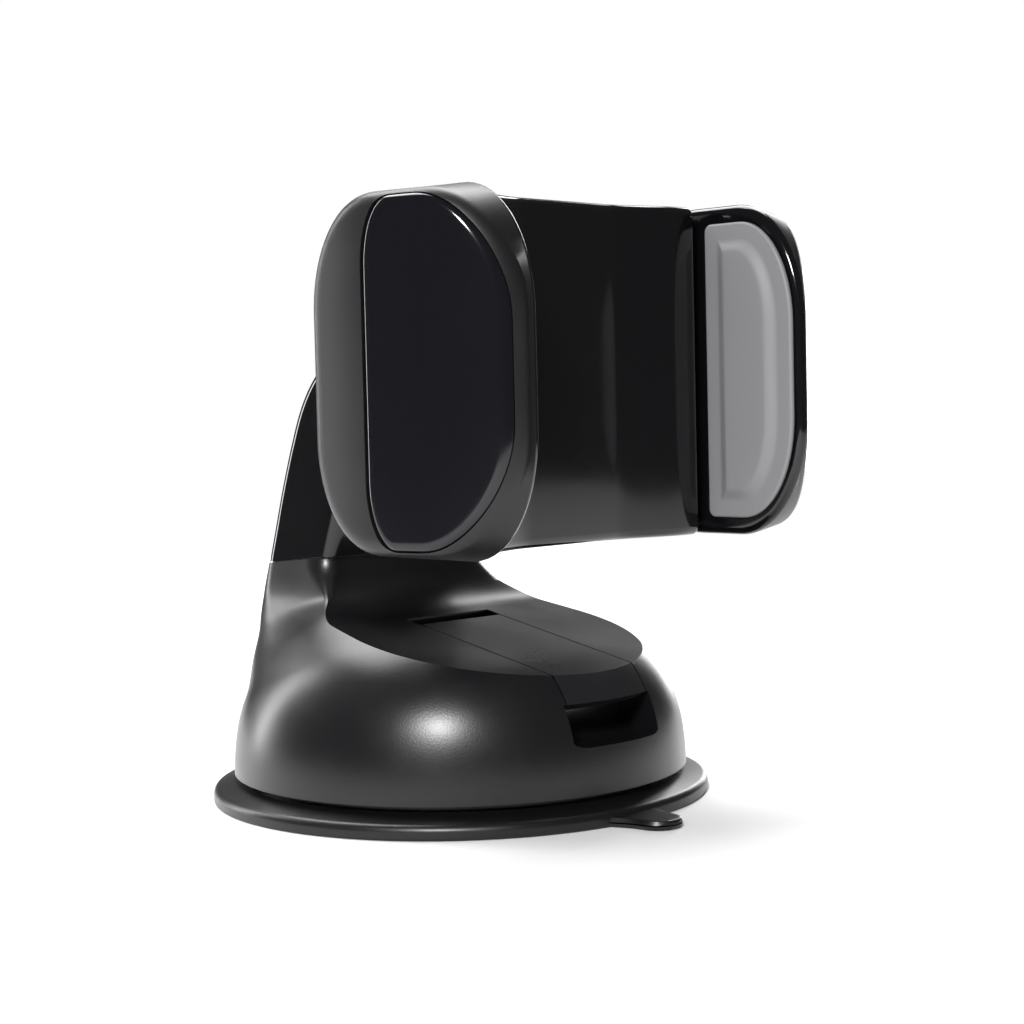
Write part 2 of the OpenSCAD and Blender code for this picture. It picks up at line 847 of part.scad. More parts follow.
// Side outline of a jaw in (y, z): small corners at the back, long ones at the tip
module jaw_side(inset = 0) {
  h = jaw_h / 2;
  back_ry = 9.5;
  back_rz = 10;
  tip_ry = 12;
  tip_rz = 17;
  offset(delta = -inset) polygon(concat(
    arc(jaw_tip + tip_ry, ball_z - h + tip_rz, tip_ry, tip_rz, 180, 270, 12),
    arc(jaw_back - back_ry, ball_z - h + back_rz, back_ry, back_rz, 270, 360, 10),
    arc(jaw_back - back_ry, ball_z + h - back_rz, back_ry, back_rz, 0, 90, 10),
    arc(jaw_tip + tip_ry, ball_z + h - tip_rz, tip_ry, tip_rz, 90, 180, 12)
  ));
}

// Plan outline of the right jaw in (x, y)
module jaw_plan(inset = 0) {
  offset(delta = -inset) polygon([
    [jaw_in, jaw_back], [jaw_in, jaw_tip + 1.2], [jaw_in + 0.6, jaw_tip + 0.3],
    [jaw_in + 1.6, jaw_tip], [jaw_in + 2.8, jaw_tip + 0.5], [jaw_in + 6, jaw_tip + 4.4],
    [jaw_in + 8.6, jaw_tip + 9.6], [jaw_in + 10.4, jaw_tip + 16], [jaw_in + 11.3, jaw_tip + 23],
    [jaw_in + 11.4, jaw_tip + 28], [jaw_in + 11, jaw_back]
  ]);
}

module jaw_solid(inset = 0) {
  intersection() {
    along_x(3 * far) jaw_side(inset);
    translate([0, 0, ball_z - far / 2]) linear_extrude(far) jaw_plan(inset);
  }
}

// Column that the outer panel fills, inset from the jaw's edge
module panel_column(inset) {
  intersection() {
    along_x(3 * far) jaw_side(inset);
    translate([jaw_in + 1.6, jaw_tip + inset, 0])
      cube([far, panel_back - jaw_tip - 2 * inset + 1.2, 2 * far]);
  }
}

module pad_outline(inset = 0) {
  h = pad_h / 2;
  back_r = 1.2;
  tip_ry = 9.4;
  tip_rz = 15;
  offset(delta = -inset) polygon(concat(
    arc(pad_front + tip_ry, ball_z - h + tip_rz, tip_ry, tip_rz, 180, 270, 12),
    arc(pad_back - back_r, ball_z - h + back_r, back_r, back_r, 270, 360, 4),
    arc(pad_back - back_r, ball_z + h - back_r, back_r, back_r, 0, 90, 4),
    arc(pad_front + tip_ry, ball_z + h - tip_rz, tip_ry, tip_rz, 90, 180, 12)
  ));
}

module jaw_shell(bar_side) {
  slot_z = bar_side < 0 ? ball_z + bar_low - 0.2 : ball_z - bar_low + 0.2 - 8.6;
  difference() {
    jaw_solid();
    // Seat of the outer panel
    difference() {
      panel_column(1.2);
      translate([-panel_t - 0.1, 0, 0]) jaw_solid();
    }
    // Hollow, open under the panel
    intersection() {
      jaw_solid(jaw_wall);
      along_x(3 * far) jaw_side(jaw_rim);
    }
    intersection() {
      jaw_solid();
      panel_column(jaw_rim);
      translate([jaw_in + 6, -far, 0]) cube([far, far, 2 * far]);
    }
    // Seat of the pad
    translate([jaw_in - 1, 0, 0]) rotate([90, 0, 90])
      linear_extrude(pad_seat - jaw_in + 1) pad_outline(-0.05);
    // Slot for the carrier's bar, and blind holes for its screws
    translate([jaw_in - 1, gear_y0 - gear_t - 0.1, slot_z]) cube([jaw_wall + 1.2, gear_t + 0.2, 8.6]);
    at_jaw_screws(bar_side) translate([0, 0, -jaw_wall + 0.4]) cylinder(r = 0.8, h = 3);
  }
}

module jaw_panel() {
  difference() {
    intersection() {
      jaw_solid();
      panel_column(1.3);
    }
    translate([-panel_t, 0, 0]) jaw_solid();
  }
}

// Silicone pad: a flat band around a raised middle
module jaw_pad() {
  band = 3;
  translate([jaw_in - 0.4, 0, 0]) rotate([90, 0, 90]) linear_extrude(pad_seat - jaw_in + 0.4) pad_outline();
  translate([jaw_in - 1.2, 0, 0]) rotate([90, 0, 90]) linear_extrude(0.9) {
    pad_outline(band);
    translate([band - 0.9, 0]) pad_outline(band);
  }
}

module jaw_screws(bar_side) {
  at_jaw_screws(bar_side) translate([0, 0, end_plate_t]) rotate([180, 0, 0]) screw(2, 1.2, 0.8, 3.2);
}

module right_jaw_shell() {
  color("#333335") jaw_shell(-1);
}

module left_jaw_shell() {
  color("#333335") mirror([1, 0, 0]) jaw_shell(1);
}

module right_jaw_panel() {
  color("#202024") jaw_panel();
}

module left_jaw_panel() {
  color("#202024") mirror([1, 0, 0]) jaw_panel();
}

module right_jaw_pad() {
  color("#88888a") jaw_pad();
}

module left_jaw_pad() {
  color("#88888a") mirror([1, 0, 0]) jaw_pad();
}

module right_jaw_screws() {
  color("#b9bcc0") jaw_screws(-1);
}

module left_jaw_screws() {
  color("#b9bcc0") mirror([1, 0, 0]) jaw_screws(1);
}

suction_flange();
gel_membrane();
base_plate();
base_screws();
dome_housing();
neck_cover();
pull_stud();
stud_pin();
release_spring();
cam_lever();
arm_shell();
arm_cover();
arm_screws();
ball_stud();
stud_screws();
front_cup();
rear_cup();
ball_socket();
socket_screws();
lock_collar();
head_shell();
head_face();
head_screws();
chassis_plate();
chassis_screws();
pinion();
pinion_post();
left_carrier();
right_carrier();
left_jaw_shell();
right_jaw_shell();
left_jaw_panel();
right_jaw_panel();
left_jaw_pad();
right_jaw_pad();
left_jaw_screws();
right_jaw_screws();
left_jaw_spring();
right_jaw_spring();
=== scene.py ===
import json
import math

import bmesh
import bpy
from mathutils import Matrix, Vector


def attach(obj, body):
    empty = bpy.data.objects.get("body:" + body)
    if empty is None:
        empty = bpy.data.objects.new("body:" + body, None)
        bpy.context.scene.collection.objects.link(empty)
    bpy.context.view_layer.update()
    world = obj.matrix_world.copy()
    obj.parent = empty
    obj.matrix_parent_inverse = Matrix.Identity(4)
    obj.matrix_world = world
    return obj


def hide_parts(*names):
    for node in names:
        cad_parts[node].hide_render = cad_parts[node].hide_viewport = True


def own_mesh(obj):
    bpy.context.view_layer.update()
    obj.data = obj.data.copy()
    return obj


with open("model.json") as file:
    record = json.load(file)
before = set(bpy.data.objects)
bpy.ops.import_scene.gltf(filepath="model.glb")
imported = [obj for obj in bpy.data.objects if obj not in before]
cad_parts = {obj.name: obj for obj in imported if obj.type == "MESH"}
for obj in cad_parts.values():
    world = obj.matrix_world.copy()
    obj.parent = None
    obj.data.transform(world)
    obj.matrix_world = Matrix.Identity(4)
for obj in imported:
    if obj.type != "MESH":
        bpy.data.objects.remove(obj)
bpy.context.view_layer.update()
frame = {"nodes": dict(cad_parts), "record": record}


# ---- Suction rim
# The firm outer ring of the cup, injection moulded in black TPU with its pull tab.
# It lies flat on the dashboard, and the base plate presses on it from above.
# Sizes are in millimetres throughout, and finish_piece turns them to metres.


def linear(hex_colour):
    """An sRGB hex colour as linear RGBA."""
    parts = [int(hex_colour[i : i + 2], 16) / 255 for i in (1, 3, 5)]
    return [c / 12.92 if c <= 0.04045 else ((c + 0.055) / 1.055) ** 2.4 for c in parts] + [1.0]


def add_node(tree, kind, settings=None, inputs=None, links=None):
    """Adds a node, sets its properties and input values, and links its inputs."""
    made = tree.nodes.new(kind)
    for name, value in (settings or {}).items():
        setattr(made, name, value)
    for name, value in (inputs or {}).items():
        made.inputs[name].default_value = value
    for name, output in (links or {}).items():
        tree.links.new(output, made.inputs[name])
    return made


def moulded(name, colour, roughness, grain_mm, depth_mm, spread=0.06):
    """A moulded polymer: one colour, a fine surface grain as bump, and a little uneven gloss."""
    material = bpy.data.materials.new(name)
    material.use_nodes = True
    tree = material.node_tree
    shader = tree.nodes["Principled BSDF"]
    shader.inputs["Base Color"].default_value = linear(colour)
    place = add_node(tree, "ShaderNodeTexCoord").outputs["Object"]
    grain = add_node(
        tree, "ShaderNodeTexNoise", inputs={"Scale": 1000 / grain_mm, "Detail": 2.0}, links={"Vector": place}
    )
    bump = add_node(
        tree,
        "ShaderNodeBump",
        inputs={"Strength": 1.0, "Distance": depth_mm / 1000},
        links={"Height": grain.outputs["Fac"]},
    )
    tree.links.new(bump.outputs["Normal"], shader.inputs["Normal"])
    patches = add_node(
        tree, "ShaderNodeTexNoise", inputs={"Scale": 1000 / 9, "Detail": 3.0}, links={"Vector": place}
    )
    gloss = add_node(
        tree,
        "ShaderNodeMapRange",
        inputs={
            "From Min": 0.3,
            "From Max": 0.7,
            "To Min": roughness - spread / 2,
            "To Max": roughness + spread / 2,
        },
        links={"Value": patches.outputs["Fac"]},
    )
    tree.links.new(gloss.outputs["Result"], shader.inputs["Roughness"])
    return material


def finish_piece(bm, name, body, material, nodes, sharp=32, merge=0.002):
    """Turns a bmesh in millimetres into a finished object that stands for CAD nodes."""
    bmesh.ops.remove_doubles(bm, verts=bm.verts[:], dist=merge)
    bmesh.ops.recalc_face_normals(bm, faces=bm.faces[:])
    bmesh.ops.scale(bm, vec=(0.001, 0.001, 0.001), verts=bm.verts[:])
    mesh = bpy.data.meshes.new(name)
    bm.to_mesh(mesh)
    bm.free()
    piece = bpy.data.objects.new(name, mesh)
    bpy.context.scene.collection.objects.link(piece)
    smooth_by_angle(mesh, sharp)
    for one in material if isinstance(material, list) else [material]:
        mesh.materials.append(one)
    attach(piece, body)
    if nodes:
        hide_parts(*nodes)
    return piece


def smooth_by_angle(mesh, degrees):
    """Shades smooth, with an edge kept sharp where its faces turn by more than the angle."""
    shape = bmesh.new()
    shape.from_mesh(mesh)
    for face in shape.faces:
        face.smooth = True
    for edge in shape.edges:
        edge.smooth = len(edge.link_faces) != 2 or edge.calc_face_angle(0) < math.radians(degrees)
    shape.to_mesh(mesh)
    shape.free()


def skin(bm, across, along, place):
    """Adds a grid of quads whose corners lie at place(u, v), with u and v from 0 to 1."""
    made = bmesh.ops.create_grid(bm, x_segments=across, y_segments=along, size=0.5)["verts"]
    for corner in made:
        corner.co = Vector(place(corner.co.x + 0.5, corner.co.y + 0.5))
    return made


def spin_profile(bm, profile, steps=160):
    """Revolves a closed or axis-to-axis profile of (r, z) points about Z."""
    made = [bm.verts.new((r, 0, z)) for r, z in profile]
    edges = [bm.edges.new(pair) for pair in zip(made, made[1:])]
    bmesh.ops.spin(
        bm,
        geom=made + edges,
        cent=(0, 0, 0),
        axis=(0, 0, 1),
        angle=math.tau,
        steps=steps,
        use_merge=True,
        use_duplicate=False,
    )


def rounded_profile(points, steps=6):
    """Rounds the corners of a polyline. Each point is (a, b, radius)."""
    out = []
    for i, (a, b, radius) in enumerate(points):
        if not radius or i in (0, len(points) - 1):
            out.append((a, b))
            continue
        here = Vector((a, b))
        before = (Vector(points[i - 1][:2]) - here).normalized()
        after = (Vector(points[i + 1][:2]) - here).normalized()
        half = math.acos(max(-1, min(1, before.dot(after)))) / 2
        reach = radius / math.tan(half)
        start, stop = here + before * reach, here + after * reach
        centre = here + (before + after).normalized() * (radius / math.sin(half))
        first, last = start - centre, stop - centre
        for k in range(steps + 1):
            mid = first.lerp(last, k / steps).normalized() * radius
            out.append(tuple(centre + mid))
    return out


RIM_R = 37.1
RIM_IN = 23.7
# TPU, moulded against a fine spark-eroded tool: a soft, even sheen with a slight grain
rim_tpu = moulded("moulded_tpu", "#0e0e10", 0.36, 0.35, 0.012)
bm = bmesh.new()
spin_profile(
    bm,
    rounded_profile(
        [
            (RIM_IN, 1.5, 0),
            (RIM_IN, 0, 0.3),
            (RIM_R, 0, 0.35),
            (RIM_R, 2.0, 1.1),
            (RIM_R - 4.2, 3.0, 1.5),
            (RIM_IN, 3.0, 0.3),
            (RIM_IN, 1.5, 0),
        ]
    ),
)
# The tongue of the pull tab, with a round end
TAB_X = -2.0
TAB_END = -41.0
TAB_R = 3.4


def tab_outline(v):
    """Half-width of the tab and its y at v, from under the rim to the tip."""
    if v < 0.6:
        t = v / 0.6
        y = -33 + (TAB_END + 33) * t
        return 5.8 - (5.8 - TAB_R) * (t * t * (3 - 2 * t)), y
    angle = (v - 0.6) / 0.4 * math.pi / 2
    return TAB_R * math.cos(angle), TAB_END - TAB_R * math.sin(angle)


def tab_shape(low, high, edge):
    for side in (0, 1):

        def place(u, v, side=side):
            half, y = tab_outline(v)
            x = (2 * u - 1) * half
            drop = max(0.0, 1 - (1 - abs(2 * u - 1)) * half / edge) if half > 0.01 else 1.0
            drop = max(drop, max(0.0, 1 - (y - (TAB_END - TAB_R)) / edge))
            bulge = edge * (1 - math.sqrt(max(0.0, 1 - min(1.0, drop) ** 2)))
            return (TAB_X + x, y, high - bulge if side else low + bulge)

        skin(bm, 24, 30, place)


tab_shape(0.0, 1.4, 0.6)
finish_piece(bm, "suction_rim", "base", rim_tpu, ["suction_flange"])


# ---- Soft middle of the cup
# A sheet of cast urethane gel, bonded to the stud's foot, that is drawn up off the dashboard.
# In the real cup it flattens again as the stud drops; here the sheet keeps one fixed shape.

bm = bmesh.new()
spin_profile(
    bm,
    [(0, 3.25), (12, 3.25), (22.2, 0.5), (23.5, 0.5), (23.5, 2.0), (22.5, 2.0), (13, 4.7), (0, 4.7)],
)
# Polyurethane gel: smooth and slightly tacky, so its highlight is soft and bright
cup_gel = moulded("cast_urethane_gel", "#17171a", 0.25, 1.5, 0.002)
gel = finish_piece(bm, "cup_gel_sheet", "base", cup_gel, ["gel_membrane"])
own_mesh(gel)


# ---- Dome and lower neck
# The base is one ABS moulding: a dome that flows into the foot of the arm.
# Its sloping deck carries the lever, and a finger pocket is cut below the lever's lip.

DOME_FOOT = 4.0
DECK_Z = 25.83
DECK_RISE = 0.2
FILLET_R = 10.0
FILLET_Y = 1.2
# Height, half-width, front, back and corner radius of the neck's sections
NECK = [
    (8, 21.5, -9, 31.6, 20.5),
    (16, 22, -6, 30.8, 17.5),
    (24, 21.6, -2, 28.8, 12.5),
    (30, 17.7, 2.6, 27.15, 4.5),
    (35, 16.3, 9.0, 25.85, 2.4),
    (39, 15.75, 10.0, 25.0, 2.2),
]


def clamp(value, low=0.0, high=1.0):
    return max(low, min(high, value))


def ease(t):
    t = clamp(t)
    return t * t * (3 - 2 * t)


def section_at(table, z):
    """A row of the table at height z, along a smooth curve through its rows."""
    z = clamp(z, table[0][0], table[-1][0])
    k = max(i for i in range(len(table) - 1) if table[i][0] <= z)
    low, high = table[k], table[k + 1]
    before = table[max(k - 1, 0)]
    after = table[min(k + 2, len(table) - 1)]
    span = high[0] - low[0]
    t = (z - low[0]) / span
    out = []
    for i in range(1, len(low)):
        m0 = (high[i] - before[i]) / (high[0] - before[0]) * span
        m1 = (after[i] - low[i]) / (after[0] - low[0]) * span
        out.append(
            (2 * t**3 - 3 * t**2 + 1) * low[i]
            + (t**3 - 2 * t**2 + t) * m0
            + (3 * t**2 - 2 * t**3) * high[i]
            + (t**3 - t**2) * m1
        )
    return out


def dome_radius(z):
    u = (z - 3.98) / 20
    return 33.93 - 4.94 * u**2 - 4.16 * u**4


def box_distance(x, y, half, front, back, corner):
    """Signed distance in the plane to a rounded rectangle."""
    qx = abs(x) - (half - corner)
    qy = abs(y - (front + back) / 2) - ((back - front) / 2 - corner)
    return math.hypot(max(qx, 0), max(qy, 0)) + min(max(qx, qy), 0) - corner


def soft_min(a, b, k):
    h = max(k - abs(a - b), 0) / k if k > 0 else 0
    return min(a, b) - h * h * k / 4


def deck_edge(z):
    """The y at which the deck, and above it the neck's front, stands at height z."""
    slope = math.atan(DECK_RISE)
    centre_z = DECK_Z + DECK_RISE * FILLET_Y + FILLET_R / math.cos(slope)
    if z < centre_z - FILLET_R * math.cos(slope):
        return (z - DECK_Z) / DECK_RISE
    if z < centre_z:
        return FILLET_Y + math.sqrt(max(0.0, FILLET_R**2 - (centre_z - z) ** 2))
    return FILLET_Y + FILLET_R


def form_distance(x, y, z):
    """Signed distance in the plane to the section of the dome and neck, before the deck is cut."""
    dome = math.hypot(x, y) - dome_radius(z)
    neck = box_distance(x, y, *section_at(NECK, z))
    return soft_min(dome, neck, 7.5 * ease((z - 8) / 14))


def body_distance(x, y, z):
    """As form_distance, with the deck cut away. The cut's corner softens towards the arm."""
    return -soft_min(-form_distance(x, y, z), y - deck_edge(z), 4.5 * ease((z - 28) / 7))


AXIS_Y = 17.0


def body_point(z, angle):
    """The point of the section at height z that lies at an angle from the back."""
    dx, dy = math.sin(angle), math.cos(angle)
    low, high = 0.0, 60.0
    for _ in range(26):
        mid = (low + high) / 2
        if body_distance(dx * mid, AXIS_Y + dy * mid, z) < 0:
            low = mid
        else:
            high = mid
    return (dx * low, AXIS_Y + dy * low, z)


def front_height():
    """The height at which the deck meets the front of the dome."""
    low, high = 15.0, 25.0
    for _ in range(40):
        mid = (low + high) / 2
        if deck_edge(mid) < -dome_radius(mid):
            low = mid
        else:
            high = mid
    return low


FRONT_Z = front_height()


def crease_angle(z):
    """The angle from the back at which the deck's edge meets the side at height z."""
    if z <= FRONT_Z:
        return math.pi
    y = deck_edge(z)
    low, high = 0.0, 40.0
    for _ in range(40):
        mid = (low + high) / 2
        if form_distance(mid, y, z) < 0:
            low = mid
        else:
            high = mid
    return math.atan2(low, y - AXIS_Y)


NECK_TOP = 38.0
FOOT_ROWS = 34
SIDE_ROWS = 96
foot_heights = [DOME_FOOT + (FRONT_Z - DOME_FOOT) * i / FOOT_ROWS for i in range(FOOT_ROWS + 1)]
side_heights = [FRONT_Z + (NECK_TOP - FRONT_Z) * (i / SIDE_ROWS) ** 2 for i in range(SIDE_ROWS + 1)]
heights = foot_heights + side_heights[1:]
creases = [crease_angle(z) for z in heights]
bm = bmesh.new()


def side_place(u, v):
    i = round(v * (len(heights) - 1))
    return body_point(heights[i], (2 * u - 1) * creases[i])


def deck_place(u, v):
    i = FOOT_ROWS + round(v * SIDE_ROWS)
    start = creases[i]
    return body_point(heights[i], start + (math.tau - 2 * start) * u)


skin(bm, 200, len(heights) - 1, side_place)
skin(bm, 64, SIDE_ROWS, deck_place)
bmesh.ops.remove_doubles(bm, verts=bm.verts[:], dist=0.004)
# The seam with the arm is a plane that rises towards the front
SEAM_Z = 35.0
SEAM_Y = 18.5
SEAM_TILT = math.radians(5.5)
seam_normal = Vector((0, math.sin(SEAM_TILT), math.cos(SEAM_TILT)))
bmesh.ops.bisect_plane(
    bm,
    geom=bm.verts[:] + bm.edges[:] + bm.faces[:],
    plane_co=(0, SEAM_Y, SEAM_Z),
    plane_no=seam_normal,
    clear_outer=True,
)
bmesh.ops.holes_fill(bm, edges=[e for e in bm.edges if e.is_boundary], sides=0)


def new_cutter(bm):
    """A temporary object in millimetres, for a boolean cut."""
    bmesh.ops.remove_doubles(bm, verts=bm.verts[:], dist=0.002)
    bmesh.ops.recalc_face_normals(bm, faces=bm.faces[:])
    mesh = bpy.data.meshes.new("cutter")
    bm.to_mesh(mesh)
    bm.free()
    made = bpy.data.objects.new("cutter", mesh)
    bpy.context.scene.collection.objects.link(made)
    return made


def combine(bm, others, operation="DIFFERENCE"):
    """Returns a new bmesh with the others cut from bm, or joined to it."""
    base = new_cutter(bm)
    tools = [new_cutter(one) for one in others]
    for tool in tools:
        step = base.modifiers.new("cut", "BOOLEAN")
        step.operation = operation
        step.solver = "EXACT"
        step.object = tool
    bpy.context.view_layer.update()
    result = bmesh.new()
    result.from_mesh(base.evaluated_get(bpy.context.evaluated_depsgraph_get()).to_mesh())
    for one in [base, *tools]:
        bpy.data.objects.remove(one)
    return result


def prism(outline, low, high, bm=None):
    """Extrudes an outline of (y, z) points from x = low to x = high."""
    bm = bm or bmesh.new()
    face = bm.faces.new([bm.verts.new((low, y, z)) for y, z in outline])
    moved = bmesh.ops.extrude_face_region(bm, geom=[face])["geom"]
    corners = [g for g in moved if isinstance(g, bmesh.types.BMVert)]
    bmesh.ops.translate(bm, vec=(high - low, 0, 0), verts=corners)
    return bm


def block(low, high):
    """A box between two corners."""
    bm = bmesh.new()
    bmesh.ops.create_cube(bm, size=1)
    for v in bm.verts:
        v.co = [low[i] + (high[i] - low[i]) * (v.co[i] + 0.5) for i in range(3)]
    return bm


LEVER_HALF = 8.05
GAP = 0.3
LIP_Z = 16.4
LIP_Y = -27.6
SLOT_BACK = 2.2
FLOOR_Z = 11.7


def deck_z(y):
    return DECK_Z + DECK_RISE * y


half = LEVER_HALF + GAP
slot = prism(
    [
        (5.5, FLOOR_Z),
        (5.5, deck_z(5.5) - 3.6),
        (SLOT_BACK, deck_z(SLOT_BACK) - 2.2),
        (SLOT_BACK, 34),
        (-40, 34),
        (-40, LIP_Z - 0.2),
        (LIP_Y + 1.2, LIP_Z - 0.2),
        (LIP_Y + 1.2, deck_z(LIP_Y) - 3.4),
        (-13.4, deck_z(-13.4) - 3.4),
        (-13.4, FLOOR_Z),
    ],
    -half,
    half,
)
# Finger pocket: a scoop with a rounded back and rounded lower corners
POCKET_Z = 10.5
POCKET_HALF = 8.7
POCKET_BACK = -24.6
pocket_side = rounded_profile(
    [(-40, LIP_Z, 0), (-40, POCKET_Z, 0), (POCKET_BACK, POCKET_Z, 4.2), (POCKET_BACK, LIP_Z, 0)], 10
)
pocket = prism(pocket_side, -POCKET_HALF, POCKET_HALF)
low_edges = [
    e
    for e in pocket.edges
    if abs(abs(e.verts[0].co.x) - POCKET_HALF) < 0.01
    and abs(e.verts[0].co.x - e.verts[1].co.x) < 0.01
    and max(v.co.z for v in e.verts) < LIP_Z - 0.01
    and max(v.co.y for v in e.verts) < POCKET_BACK - 0.01
    and min(v.co.y for v in e.verts) < -30
    and max(v.co.z for v in e.verts) < POCKET_Z + 0.01
]
bmesh.ops.bevel(pocket, geom=low_edges, offset=2.6, segments=8, affect="EDGES", profile=0.5, material=-1)
inside = bmesh.new()
spin_profile(inside, [(0, 3), (31.6, 3), (31.6, 7.3), (14, 7.3), (14, 9.7), (0, 9.7)])
guide = prism([(-7.5, 9), (0.5, 9), (0.5, 12), (-7.5, 12)], -3.1, 3.1)


def neck_plug(form, grow):
    """The rear skin of the neck between the cover's edges: the recess, or with no growth the cover."""
    shifted = form.copy()
    bmesh.ops.translate(shifted, vec=(0, -1.8 - grow, 0), verts=shifted.verts[:])
    return combine(block((-11 - grow, 18, 9 - grow), (11 + grow, 40, 31.4 + grow)), [shifted])


neck_cover = combine(neck_plug(bm, 0), [bm.copy()], "INTERSECT")
bm = combine(bm, [slot, pocket, inside, guide, neck_plug(bm, 0.12), block((-9, 18, 12), (9, 40, 29))])
# ABS, moulded on a spark-eroded tool: black with a soft broad highlight and a very fine grain
satin_abs = moulded("moulded_satin_abs", "#101012", 0.31, 0.3, 0.01)
finish_piece(bm, "dome_and_neck", "base", satin_abs, ["dome_housing"])
# The snap-in cover behind the neck is moulded in the same ABS
finish_piece(neck_cover, "neck_rear_cover", "base", satin_abs, ["neck_cover"])


# ---- Cam lever
# A black ABS lever, flush with the deck, that wraps over the front edge of the dome.
# Its two cheeks turn on a steel pin, and their cams draw the cup up as it closes.

LEVER_BACK = -0.8


def crease_at(x):
    """The y of the deck's front edge at x."""
    y = -dome_radius(FRONT_Z)
    for _ in range(30):
        y = -math.sqrt(dome_radius(deck_z(y)) ** 2 - x * x)
    return y


def lever_top(u, v):
    x = (2 * u - 1) * LEVER_HALF
    corner = crease_at(x)
    if v <= 0.6:
        y = LEVER_BACK + (corner - LEVER_BACK) * v / 0.6
        return (x, y, deck_z(y))
    z = deck_z(corner) + (LIP_Z - deck_z(corner)) * (v - 0.6) / 0.4
    return (x, -math.sqrt(dome_radius(z) ** 2 - x * x), z)


bm = bmesh.new()
skin(bm, 24, 50, lever_top)
bmesh.ops.recalc_face_normals(bm, faces=bm.faces[:])
if sum(f.normal.z for f in bm.faces) < 0:
    bmesh.ops.reverse_faces(bm, faces=bm.faces[:])
bmesh.ops.solidify(bm, geom=bm.faces[:], thickness=2.2)
PIN_Y = -3.5
PIN_Z = 18.3
CAM_Y = -6.518
CAM_Z = 17.05
for side in (-1, 1):
    for y, z, r in ((PIN_Y, PIN_Z, 3.2), (CAM_Y, CAM_Z, 5.2)):
        place = Matrix.Translation((side * 4.9, y, z)) @ Matrix.Rotation(math.pi / 2, 4, "Y")
        bmesh.ops.create_cone(bm, cap_ends=True, segments=48, radius1=r, radius2=r, depth=3.2, matrix=place)
    prism(
        [
            (CAM_Y - 3.4, CAM_Z + 3.4),
            (-0.9, PIN_Z),
            (-0.9, deck_z(PIN_Y) - 1.7),
            (CAM_Y - 4.6, deck_z(-11.5) - 1.7),
        ],
        side * 3.3,
        side * 6.5,
        bm,
    )
# ABS from a slightly finer tool than the dome: a touch glossier, with the same grain
lever_abs = moulded("moulded_lever_abs", "#1a1a1c", 0.3, 0.3, 0.008)
finish_piece(bm, "cam_lever_body", "lever", lever_abs, ["cam_lever"])


# ---- Arm
# The upper arm is a gloss black ABS moulding, screwed to the neck from below.
# It narrows and leans forward to its top, where the ball stud is screwed in.

# Height, half-width, front, back and corner radius of the arm's sections
ARM = [
    (30, 16.4, 12.0, 27.1, 2.2),
    (39, 15.75, 10.0, 25.0, 2.2),
    (46, 15.2, 8.6, 23.4, 2.2),
    (53, 14.7, 7.2, 21.5, 2.4),
    (58, 14.3, 6.4, 19.8, 2.6),
    (62, 13.9, 6.1, 17.6, 3.0),
    (66, 13.0, 6.0, 14.4, 3.4),
    (68.6, 11.4, 6.4, 11.8, 2.4),
    (69.5, 9.4, 7.2, 10.4, 1.5),
]
ARM_STEPS = 16


def section_loop(row, steps=ARM_STEPS, inset=0.0):
    """Points of a rounded rectangle, corner by corner, from (half, front, back, corner)."""
    half, front, back, corner = row
    corner = max(corner - inset, 0.3)
    half, front, back = half - inset, front + inset, back - inset
    out = []
    for k, (sx, y) in enumerate(((1, back), (-1, back), (-1, front), (1, front))):
        cx = sx * (half - corner)
        cy = y - corner if y == back else y + corner
        for i in range(steps + 1):
            angle = math.radians(90 * k + 90 * i / steps)
            out.append((cx + corner * math.cos(angle), cy + corner * math.sin(angle)))
    return out


def loft(table, low, high, rows, inset=0.0):
    """A closed skin through a table of sections, capped at both ends."""
    bm = bmesh.new()
    heights = [low + (high - low) * math.sin(math.pi / 2 * j / rows) for j in range(rows + 1)]
    loops = [section_loop(section_at(table, z), inset=inset) for z in heights]
    count = len(loops[0])

    def place(u, v):
        j = round(v * rows)
        x, y = loops[j][round(u * count) % count]
        return (x, y, heights[j])

    skin(bm, count, rows, place)
    bmesh.ops.remove_doubles(bm, verts=bm.verts[:], dist=0.002)
    bmesh.ops.holes_fill(bm, edges=[e for e in bm.edges if e.is_boundary], sides=0)
    return bm


def trim(bm, point, normal):
    """Cuts away the side that the normal points to, and closes the cut."""
    bmesh.ops.bisect_plane(
        bm,
        geom=bm.verts[:] + bm.edges[:] + bm.faces[:],
        plane_co=point,
        plane_no=normal,
        clear_outer=True,
    )
    bmesh.ops.holes_fill(bm, edges=[e for e in bm.edges if e.is_boundary], sides=0)


def y_rod(x, z, radius, back, front, segments=64):
    """A cylinder along Y."""
    bm = bmesh.new()
    place = Matrix.Translation((x, (back + front) / 2, z)) @ Matrix.Rotation(math.pi / 2, 4, "X")
    bmesh.ops.create_cone(
        bm,
        cap_ends=True,
        segments=segments,
        radius1=radius,
        radius2=radius,
        depth=abs(back - front),
        matrix=place,
    )
    return bm


BALL_Z = 62
arm = loft(ARM, 30.5, 69.5, 60)
trim(arm, (0, SEAM_Y, SEAM_Z + 0.12), -seam_normal)
hollow = loft(ARM, 30.6, 67.0, 30, inset=2.2)
trim(hollow, (0, SEAM_Y, SEAM_Z + 2.6), -seam_normal)
hollow = combine(hollow, [y_rod(0, BALL_Z, 9.6, 8.8, -12)])


def cover_plug(grow):
    """The rear skin between the cover's edges, for the cover itself or for its recess."""
    shifted = loft(ARM, 30, 69.5, 50)
    bmesh.ops.translate(shifted, vec=(0, -1.8 - grow, 0), verts=shifted.verts[:])
    zone = block((-9.5 - grow, 9, 37 - grow), (9.5 + grow, 40, 65 + grow))
    return combine(zone, [shifted])


